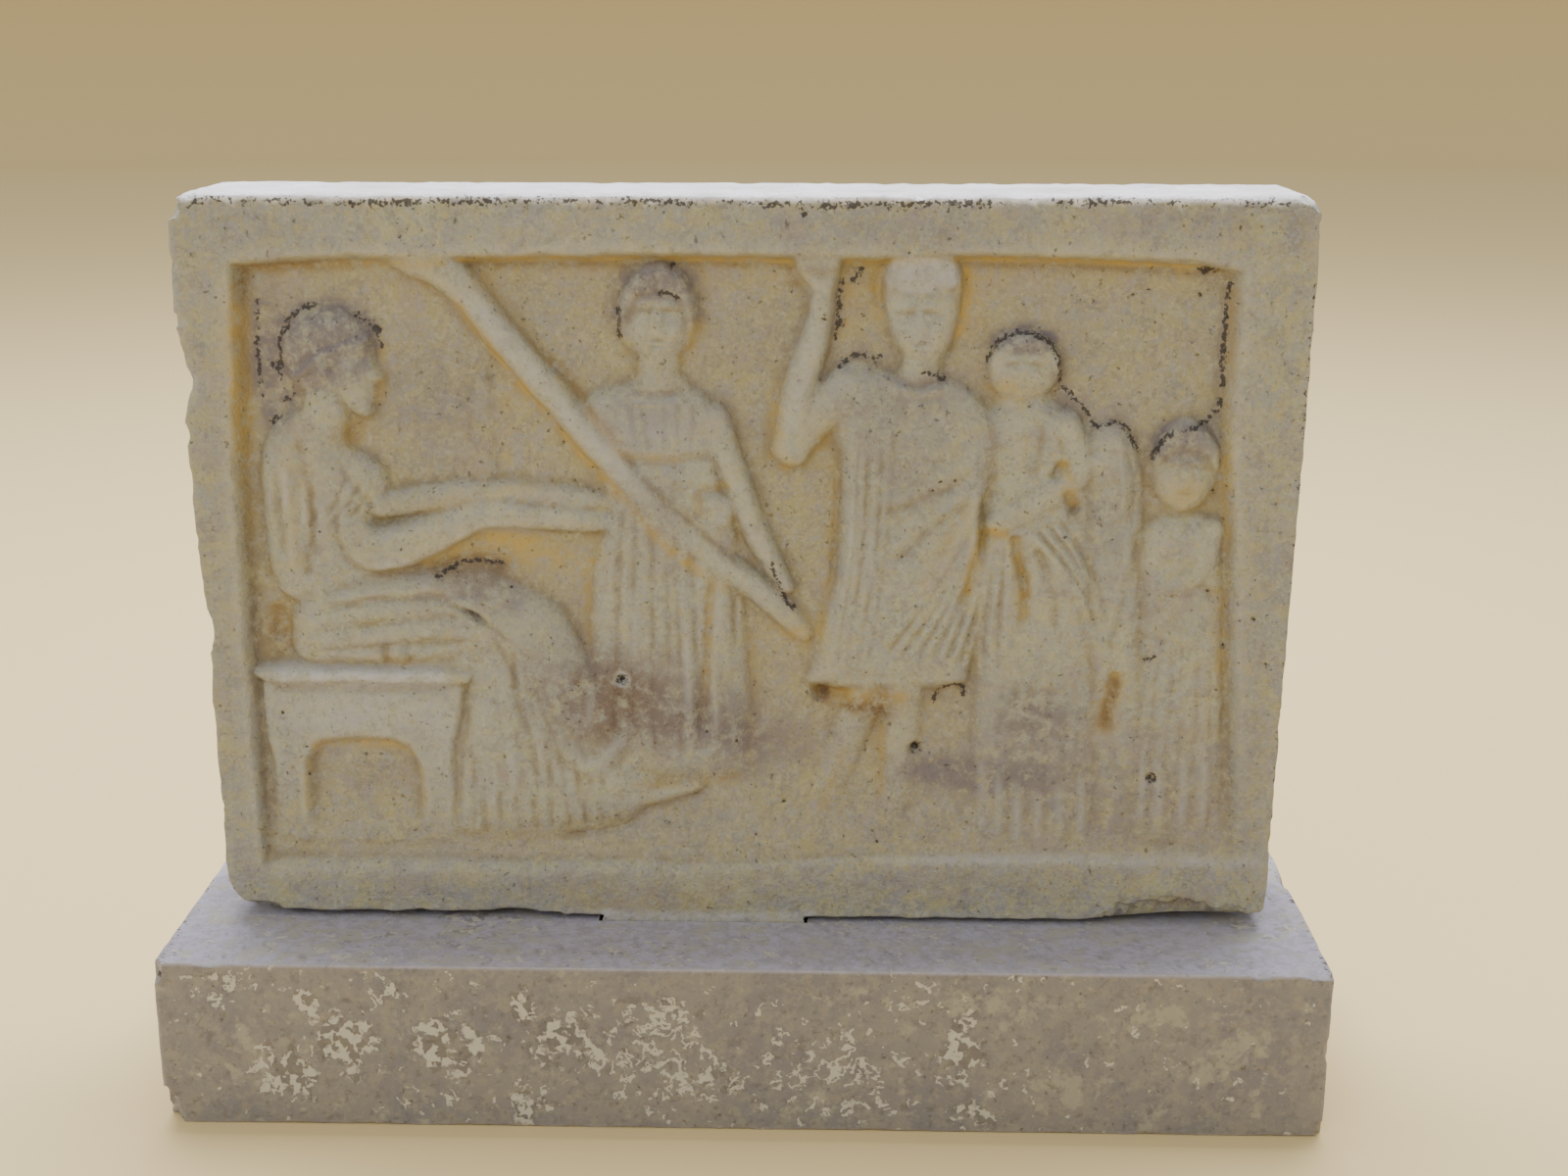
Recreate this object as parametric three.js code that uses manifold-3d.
// A votive stele of white marble, set by its tenon in a block of purplish limestone.
// Millimetres, +Z up, the carved face towards -Y, the origin under the middle of the plinth.
import * as THREE from "three";
import { mergeVertices } from "three/addons/utils/BufferGeometryUtils.js";
import Module from "manifold-3d";

const wasm = await Module();
wasm.setup();

// Driving dimensions
const STELE = { headWidth: 459, footWidth: 451, height: 310, thickness: 62 };
const PLINTH = { width: 489, depth: 155, height: 74 };
const FOOT_GAP = 1.6; // the ragged foot hangs this far clear of the plinth
const TENON = { middle: -18, width: 90, thickness: 54, length: 18 }; // flush with the carved face
const SOCKET_PLAY = 0.4; // all round the tenon and under it
const RELIEF = 9; // depth of the sunk field behind the border
const PROUDEST = 8.6; // the figures stop just short of the border's face
const FIELD = { // inner edge of the border, measured from the stele's middle and foot
  bottom: 29, top: 282, crown: 285,
  bottomLeft: -207, bottomRight: 207, topLeft: -201, topRight: 195,
};
const GRID = { across: 86, up: 42 }; // cells of the carved field
const SHAFT_RISE = 8; // how far the leaning shaft stands out of the sunk field

const footLevel = PLINTH.height + FOOT_GAP;
const faceY = -STELE.thickness / 2;
const tenonY = faceY + TENON.thickness / 2;

// ---- Solids and booleans ------------------------------------------------------------------

function solid(geometry) {
  const bare = geometry.index ? geometry.toNonIndexed() : geometry.clone();
  bare.deleteAttribute("normal");
  bare.deleteAttribute("uv");
  const merged = mergeVertices(bare, 1e-3);
  return new wasm.Manifold(new wasm.Mesh({
    numProp: 3,
    vertProperties: merged.attributes.position.array,
    triVerts: new Uint32Array(merged.index.array),
  }));
}

function geometryOf(manifold) {
  const { numProp, numVert, vertProperties, triVerts } = manifold.getMesh();
  const position = new Float32Array(numVert * 3);
  for (let i = 0; i < numVert; i++) {
    position.set(vertProperties.subarray(i * numProp, i * numProp + 3), i * 3);
  }
  const geometry = new THREE.BufferGeometry();
  geometry.setAttribute("position", new THREE.BufferAttribute(position, 3));
  geometry.setIndex(new THREE.BufferAttribute(triVerts, 1));
  geometry.computeVertexNormals();
  return geometry;
}

// A squared block standing on a level, its middle at x and y.
function squared(x, y, bottom, width, depth, height) {
  return new THREE.BoxGeometry(width, depth, height).translate(x, y, bottom + height / 2);
}

// An upright outline, drawn in x and z, given a thickness from y = front backwards.
function slab(outline, front, thickness) {
  return new THREE.ExtrudeGeometry(outline, { depth: thickness, bevelEnabled: false, curveSegments: 6 })
    .rotateX(Math.PI / 2)
    .translate(0, front + thickness, 0);
}

// A broken-off flake: the blunt solid that is missing from the stone, at a place on its edge.
function flake([x, y, z], [halfX, halfY, halfZ], turn = 0) {
  return new THREE.IcosahedronGeometry(1, 1)
    .rotateY(turn)
    .scale(halfX, halfY, halfZ)
    .translate(x, y, z);
}

const cutAll = (body, flakes) => flakes.reduce((rest, f) => rest.subtract(solid(f)), body);

// ---- Carved forms: each gives its rise over the sunk field at a point (u, v) -----------------
// u runs right from the stele's middle and v up from its foot.

const mix = (a, b, t) => a + (b - a) * t;
const clamp01 = (t) => Math.min(1, Math.max(0, t));
const ease = (t) => clamp01(t) ** 2 * (3 - 2 * clamp01(t));
const rounded = (t) => (t >= 1 ? 0 : Math.sqrt(1 - t ** 3)); // section from the middle, 0, to the edge, 1

// A head, hand or other round form.
const dome = (rise, u0, v0, halfU, halfV) => (u, v) =>
  rise * rounded(Math.hypot((u - u0) / halfU, (v - v0) / halfV));

// An arm, leg or staff through points [u, v, half width].
const limb = (rise, ...points) => (u, v) => {
  let high = 0;
  for (let i = 1; i < points.length; i++) {
    const [a, b] = [points[i - 1], points[i]];
    const [du, dv] = [b[0] - a[0], b[1] - a[1]];
    const t = clamp01(((u - a[0]) * du + (v - a[1]) * dv) / (du * du + dv * dv));
    const away = Math.hypot(u - mix(a[0], b[0], t), v - mix(a[1], b[1], t));
    high = Math.max(high, rise * rounded(away / mix(a[2], b[2], t)));
  }
  return high;
};

// Cloth that falls through levels [v, left, right], highest first, in a number of folds.
const drape = (rise, folds, foldDepth, ...levels) => (u, v) => {
  const top = levels[0][0];
  const hem = levels[levels.length - 1][0];
  if (v > top || v < hem) return 0;
  const i = Math.max(1, levels.findIndex((level) => level[0] <= v));
  const [above, below] = [levels[i - 1], levels[i]];
  const t = (above[0] - v) / (above[0] - below[0]);
  const [left, right] = [mix(above[1], below[1], t), mix(above[2], below[2], t)];
  const across = (u - left) / (right - left);
  if (across <= 0 || across >= 1) return 0;
  const edge = Math.sqrt(1 - Math.abs(2 * across - 1) ** 5);
  const ends = ease((top - v) / 6) * ease((v - hem) / 4);
  const furrow = foldDepth * (0.5 + 0.5 * Math.cos(2 * Math.PI * folds * across));
  return (rise - furrow) * edge * ends;
};

// A flat-faced piece of furniture with softened edges.
const panel = (rise, left, right, bottom, top, softness = 3) => (u, v) =>
  rise * ease((u - left) / softness) * ease((right - u) / softness)
  * ease((v - bottom) / softness) * ease((top - v) / softness);

// Two forms run into each other with a small fillet.
function join(a, b) {
  const fillet = Math.min(2, 2 * Math.min(a, b));
  if (fillet <= 0) return Math.max(a, b);
  const overlap = Math.max(0, fillet - Math.abs(a - b)) / fillet;
  return Math.max(a, b) + (overlap * overlap * fillet) / 4;
}

const together = (...forms) => (u, v) => forms.reduce((high, form) => join(high, form(u, v)), 0);

function stool() {
  const side = panel(6.5, -204, -127, 30, 104);
  const opening = panel(5.5, -189, -138, 20, 81, 5);
  const seat = panel(8.5, -206, -110, 101, 112, 4);
  return (u, v) => join(Math.max(0, side(u, v) - opening(u, v)), seat(u, v));
}

// A seated woman in profile, both arms held out before her.
function seatedWoman() {
  return together(
    dome(8, -168, 245, 20, 20),
    dome(7, -163, 232, 14, 17),
    limb(6, [-172, 224, 11], [-177, 206, 14]),
    limb(7, [-176, 200, 22], [-182, 152, 21]),
    limb(8.5, [-172, 198, 12], [-156, 166, 10]),
    limb(8, [-155, 164, 10], [-108, 179, 7], [-68, 173, 6]),
    limb(5, [-140, 178, 8], [-68, 188, 6]),
    limb(8.5, [-172, 129, 18], [-96, 129, 20]),
    limb(7.5, [-95, 126, 18], [-66, 78, 17], [-48, 56, 13]),
    limb(5.5, [-48, 52, 9], [-22, 53, 6]),
    drape(5, 4, 2.5, [112, -124, -92], [34, -128, -62]),
  );
}

// A woman who stands facing out behind the shaft.
function standingWoman() {
  return together(
    dome(6.5, -33, 263, 17.5, 19),
    dome(8.5, -33, 256, 12.5, 17),
    limb(6, [-33, 240, 8], [-33, 230, 11]),
    limb(7, [-52, 225, 9], [-18, 223, 9]),
    limb(7, [-36, 212, 23], [-34, 188, 22]),
    limb(8, [-60, 186, 7], [-24, 184, 7]),
    limb(7, [-14, 220, 8], [-3, 192, 7], [19, 146, 6]),
    drape(6, 6, 3, [192, -60, -8], [150, -62, 2], [84, -62, 2]),
    drape(4.5, 3, 2, [90, -22, 0], [60, -24, 2]),
  );
}

// The tallest figure, in a belted tunic, one arm raised against the border.
function tallFigure() {
  return together(
    dome(7.5, 74, 263, 16, 19),
    dome(8.5, 74, 256, 12, 16),
    limb(6.5, [74, 240, 8], [72, 228, 11]),
    dome(8, 31, 276, 9, 7),
    limb(7.5, [33, 268, 6.5], [19, 208, 7.5], [45, 231, 9]),
    limb(8, [50, 232, 12], [92, 226, 13]),
    drape(8.5, 5, 2.5, [238, 40, 98], [170, 38, 98], [102, 28, 68]),
    drape(8.5, 3, 3, [180, 94, 116], [140, 84, 118], [100, 68, 116]),
    limb(7, [44, 104, 9], [36, 66, 7], [28, 40, 6]),
    limb(7, [58, 104, 9], [58, 66, 7], [57, 40, 6]),
    limb(5, [28, 38, 5], [18, 35, 4]),
    limb(5, [57, 38, 5], [64, 34, 4]),
  );
}

// Three smaller figures close up behind it at the right.
function followers() {
  return together(
    dome(7.5, 114, 241, 14, 14.5),
    limb(6.5, [108, 218, 12], [132, 218, 10]),
    limb(8.5, [134, 212, 8], [104, 184, 7]),
    drape(6, 5, 2.5, [212, 104, 140], [120, 112, 150], [31, 104, 150]),
    dome(7, 148, 206, 12.5, 13),
    drape(7, 3, 3, [204, 137, 161], [110, 144, 168], [31, 146, 170]),
    dome(7.5, 181, 198, 14.5, 16.5),
    limb(6.5, [181, 168, 18], [184, 142, 19]),
    limb(7.5, [166, 172, 7], [172, 146, 6], [186, 140, 5]),
    drape(6, 4, 2.5, [150, 166, 204], [31, 164, 206]),
  );
}

const scene = together(stool(), seatedWoman(), standingWoman(), tallFigure(), followers());

// ---- The two stones ---------------------------------------------------------------------------

function steleOutline() {
  const [head, foot, high, round] = [STELE.headWidth / 2, STELE.footWidth / 2, STELE.height, 16];
  const shape = new THREE.Shape();
  shape.moveTo(-foot + round, 2);
  shape.lineTo(-85, 2.4);
  shape.lineTo(TENON.middle - TENON.width / 2, 0);
  shape.lineTo(150, 0);
  shape.lineTo(foot - 10, 4);
  shape.quadraticCurveTo(foot, 6, foot, round);
  shape.lineTo(head, high - 10);
  shape.quadraticCurveTo(head, high, head - 12, high);
  shape.lineTo(-head + 10, high);
  shape.lineTo(-head, high - 8);
  shape.lineTo(-foot, round + 14);
  shape.quadraticCurveTo(-foot, 4, -foot + round, 2);
  return shape;
}

function fieldOutline() {
  const shape = new THREE.Shape();
  shape.moveTo(FIELD.bottomLeft, FIELD.bottom);
  shape.lineTo(FIELD.bottomRight, FIELD.bottom);
  shape.lineTo(FIELD.topRight, FIELD.top);
  shape.quadraticCurveTo((FIELD.topLeft + FIELD.topRight) / 2, FIELD.crown, FIELD.topLeft, FIELD.top);
  return shape;
}

// The long shaft that leans from the border down across the scene, widest at its head.
function shaft() {
  const course = [[-132, 290, 13], [-114, 267, 8], [-58, 206, 7.5], [-18, 163, 6.5], [29, 120, 3.5]];
  const edge = 2;
  const side = (sign) => course.map(([u, v, halfWidth], i) => {
    const [before, after] = [course[Math.max(i - 1, 0)], course[Math.min(i + 1, course.length - 1)]];
    const along = new THREE.Vector2(after[0] - before[0], after[1] - before[1]).normalize();
    const out = sign * (halfWidth - edge);
    return new THREE.Vector2(u - along.y * out, v + along.x * out);
  });
  const outline = new THREE.Shape([...side(1), ...side(-1).reverse()]);
  const bevel = { bevelEnabled: true, bevelSize: edge, bevelThickness: edge, bevelSegments: 2 };
  return new THREE.ExtrudeGeometry(outline, { depth: SHAFT_RISE, ...bevel })
    .rotateX(Math.PI / 2)
    .translate(0, faceY + RELIEF + edge, 0);
}

// The carved floor of the field: a grid block whose front is drawn out to the figures' rise.
function carvedFloor() {
  const lap = 1.5; // its rim runs into the border
  const backing = 6; // and its back into the slab
  const geometry = new THREE.BoxGeometry(1, 1, 1, GRID.across, 1, GRID.up);
  const place = geometry.getAttribute("position");
  for (let i = 0; i < place.count; i++) {
    const [across, up] = [place.getX(i) + 0.5, place.getZ(i) + 0.5];
    const left = mix(FIELD.bottomLeft, FIELD.topLeft, up) - lap;
    const right = mix(FIELD.bottomRight, FIELD.topRight, up) + lap;
    const u = mix(left, right, across);
    const v = mix(FIELD.bottom - lap, FIELD.crown + lap, up);
    const isFront = place.getY(i) < 0;
    const rise = isFront ? Math.min(scene(u, v), PROUDEST) : -backing;
    place.setXYZ(i, u, faceY + RELIEF - rise, v);
  }
  return geometry;
}

// Losses round the edges of the marble.
function steleFlakes() {
  const [head, foot, high] = [STELE.headWidth / 2, STELE.footWidth / 2, STELE.height];
  return [
    flake([-head, faceY, high + 2], [26, 16, 14], 0.4),
    flake([head + 3, faceY + 2, high + 1], [14, 18, 12], 0.9),
    flake([-head - 2, faceY + 4, 238], [7, 16, 9], 0.2),
    flake([-head - 3, faceY + 8, 264], [6, 14, 12], 1.1),
    flake([-foot - 3, faceY + 10, 138], [6, 18, 14], 0.6),
    flake([192, faceY - 2, -3], [34, 9, 15], 0.3),
    flake([-206, faceY - 3, -2], [22, 9, 10], 0.8),
    flake([60, faceY - 4, high + 3], [46, 9, 7], 0.5),
    flake([-foot, -faceY + 2, 30], [24, 20, 40], 0.3),
    flake([head, -faceY + 3, high - 30], [20, 16, 54], 0.7),
  ];
}

function makeStele() {
  const body = solid(slab(steleOutline(), faceY, STELE.thickness));
  const pocket = solid(slab(fieldOutline(), faceY - 1, RELIEF + 3));
  const { middle, width, thickness, length } = TENON;
  const below = FOOT_GAP + length;
  const tenon = solid(squared(middle, tenonY, -below, width, thickness, below + 20));
  const carved = body.subtract(pocket).add(solid(carvedFloor())).add(solid(shaft())).add(tenon);
  const mesh = new THREE.Mesh(
    geometryOf(cutAll(carved, steleFlakes())),
    new THREE.MeshStandardMaterial({ color: 0xa89e86, roughness: 0.62, metalness: 0 }),
  );
  mesh.name = "stele";
  mesh.position.z = footLevel;
  return mesh;
}

// Knocks along the arrises of the limestone block.
function plinthFlakes() {
  const [halfWidth, halfDepth, high] = [PLINTH.width / 2, PLINTH.depth / 2, PLINTH.height];
  return [
    flake([-halfWidth - 1, -halfDepth, 4], [9, 8, 16], 0.2),
    flake([-halfWidth + 26, -halfDepth - 2, high + 2], [20, 6, 5], 0.6),
    flake([halfWidth - 12, -halfDepth - 2, high + 2], [16, 6, 6], 0.9),
    flake([halfWidth + 2, halfDepth - 30, high + 2], [6, 18, 6], 0.4),
    flake([-90, halfDepth + 2, high + 1], [30, 7, 6], 0.1),
  ];
}

function makePlinth() {
  const { width, depth, height } = PLINTH;
  const floor = height - TENON.length - SOCKET_PLAY;
  const [long, wide] = [TENON.width + 2 * SOCKET_PLAY, TENON.thickness + 2 * SOCKET_PLAY];
  const socket = solid(squared(TENON.middle, tenonY, floor, long, wide, height));
  const body = solid(squared(0, 0, 0, width, depth, height)).subtract(socket);
  const mesh = new THREE.Mesh(
    geometryOf(cutAll(body, plinthFlakes())),
    new THREE.MeshStandardMaterial({ color: 0x958779, roughness: 0.75, metalness: 0 }),
  );
  mesh.name = "plinth";
  return mesh;
}

const group = new THREE.Group();
group.add(makePlinth(), makeStele());

export default group;
